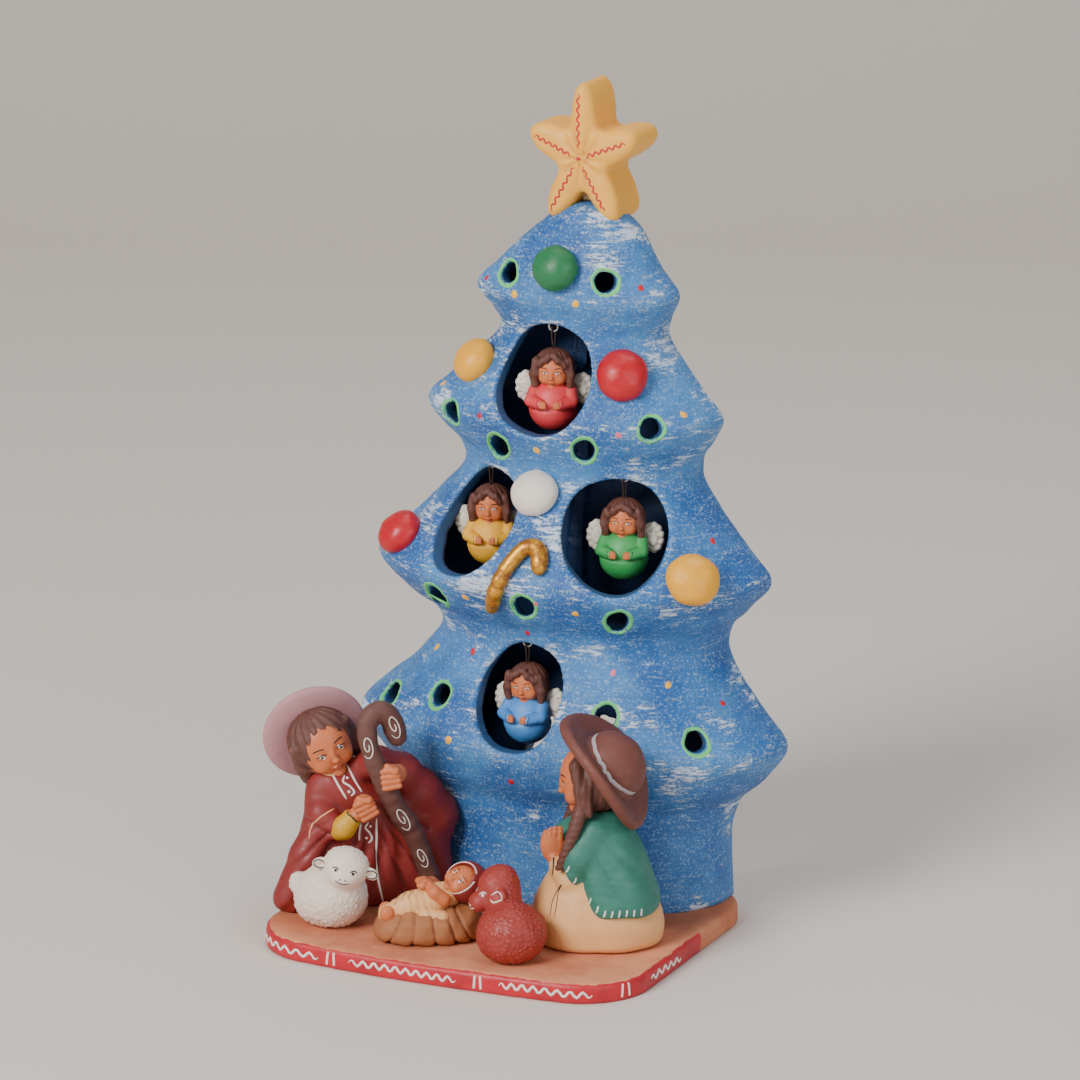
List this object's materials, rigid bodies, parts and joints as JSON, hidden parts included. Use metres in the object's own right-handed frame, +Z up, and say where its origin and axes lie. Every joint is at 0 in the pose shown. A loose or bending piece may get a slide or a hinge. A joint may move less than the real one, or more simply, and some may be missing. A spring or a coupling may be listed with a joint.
{
  "type": "painted clay nativity tree",
  "caption": "Hollow painted clay tree with round windows, hanging clay angels, a star and a small nativity group on a clay base.",
  "frame": {"origin": "on the base plate's underside, under the tree's axis", "axes": "+Z up, the front of the tree faces -Y, +X to the viewer's right"},
  "size_m": [0.1777, 0.1358, 0.3068],
  "materials": {
    "terracotta": "bare fired clay",
    "blue_paint": "matte tempera with white dry-brush",
    "star_yellow": "matte tempera",
    "ball_green": "satin tempera",
    "ball_yellow": "satin tempera",
    "ball_red": "satin tempera",
    "ball_white": "matte tempera",
    "gold_paint": "metallic gold paint",
    "eyelet_silver": "bright wire",
    "hanger_dark": "dark wire",
    "skin_clay": "matte painted clay",
    "hair_brown": "matte painted clay",
    "maroon_clay": "matte painted clay",
    "mauve_paint": "matte painted clay",
    "brown_clay": "matte painted clay",
    "ochre_paint": "matte painted clay",
    "green_paint": "matte painted clay",
    "cream_clay": "matte painted clay",
    "straw_brown": "matte painted clay",
    "white_paint": "matte painted clay",
    "rust_clay": "matte painted clay",
    "gown_red": "matte painted clay",
    "gown_yellow": "matte painted clay",
    "gown_green": "matte painted clay",
    "gown_blue": "matte painted clay"
  },
  "bodies": {
    "root": {"ball_green": "ball_green", "ball_red_lower": "ball_red", "ball_red_upper": "ball_red", "ball_white": "ball_white", "ball_yellow_lower": "ball_yellow", "ball_yellow_upper": "ball_yellow", "base_plate": "terracotta", "candy_cane": "gold_paint", "eyelet_blue": "eyelet_silver", "eyelet_green": "eyelet_silver", "eyelet_red": "eyelet_silver", "eyelet_yellow": "eyelet_silver", "infant_arms": "skin_clay", "infant_body": "cream_clay", "infant_head": "skin_clay", "infant_hood": "maroon_clay", "man_cloak": "maroon_clay", "man_hair": "hair_brown", "man_hat": "mauve_paint", "man_head": "skin_clay", "man_left_hand": "skin_clay", "man_right_hand": "skin_clay", "man_right_sleeve": "ochre_paint", "man_staff": "brown_clay", "manger": "straw_brown", "red_sheep_body": "rust_clay", "red_sheep_head": "rust_clay", "star_finial": "star_yellow", "tree_back_shell": "blue_paint", "tree_front_shell": "blue_paint", "white_sheep_body": "white_paint", "white_sheep_head": "white_paint", "woman_braid_left": "hair_brown", "woman_braid_right": "hair_brown", "woman_hair": "hair_brown", "woman_hands": "skin_clay", "woman_hat": "brown_clay", "woman_head": "skin_clay", "woman_shawl": "green_paint", "woman_skirt": "cream_clay"},
    "hanger_red": {"hanger_red": "hanger_dark"},
    "angel_red": {"angel_gown_red": "gown_red", "angel_head_red": "skin_clay", "angel_wing_red_left": "white_paint", "angel_wing_red_right": "white_paint"},
    "hanger_yellow": {"hanger_yellow": "hanger_dark"},
    "angel_yellow": {"angel_gown_yellow": "gown_yellow", "angel_head_yellow": "skin_clay", "angel_wing_yellow_left": "white_paint", "angel_wing_yellow_right": "white_paint"},
    "hanger_green": {"hanger_green": "hanger_dark"},
    "angel_green": {"angel_gown_green": "gown_green", "angel_head_green": "skin_clay", "angel_wing_green_left": "white_paint", "angel_wing_green_right": "white_paint"},
    "hanger_blue": {"hanger_blue": "hanger_dark"},
    "angel_blue": {"angel_gown_blue": "gown_blue", "angel_head_blue": "skin_clay", "angel_wing_blue_left": "white_paint", "angel_wing_blue_right": "white_paint"}
  },
  "joints": [
    {"name": "angel_red_swing", "type": "hinge", "parent": "root", "child": "hanger_red", "pos_m": [-0.0012, 0.03541, 0.21773], "axis": [1, 0, 0], "range_deg": [-6, 12]},
    {"name": "angel_red_turn", "type": "hinge", "parent": "hanger_red", "child": "angel_red", "pos_m": [-0.0012, 0.03541, 0.21151], "axis": [0, 0, 1], "range_deg": [-35, 17]},
    {"name": "angel_yellow_swing", "type": "hinge", "parent": "root", "child": "hanger_yellow", "pos_m": [-0.0258, 0.03452, 0.16463], "axis": [1, 0, 0], "range_deg": [-8, 15]},
    {"name": "angel_yellow_turn", "type": "hinge", "parent": "hanger_yellow", "child": "angel_yellow", "pos_m": [-0.0258, 0.03452, 0.15841], "axis": [0, 0, 1], "range_deg": [-35, 11]},
    {"name": "angel_green_swing", "type": "hinge", "parent": "root", "child": "hanger_green", "pos_m": [0.0281, 0.03297, 0.16563], "axis": [1, 0, 0], "range_deg": [-8, 15]},
    {"name": "angel_green_turn", "type": "hinge", "parent": "hanger_green", "child": "angel_green", "pos_m": [0.0281, 0.03297, 0.15941], "axis": [0, 0, 1], "range_deg": [-35, 35]},
    {"name": "angel_blue_swing", "type": "hinge", "parent": "root", "child": "hanger_blue", "pos_m": [-0.005, 0.02134, 0.10265], "axis": [1, 0, 0], "range_deg": [-6, 15]},
    {"name": "angel_blue_turn", "type": "hinge", "parent": "hanger_blue", "child": "angel_blue", "pos_m": [-0.005, 0.02134, 0.09644], "axis": [0, 0, 1], "range_deg": [-35, 10]}
  ]
}
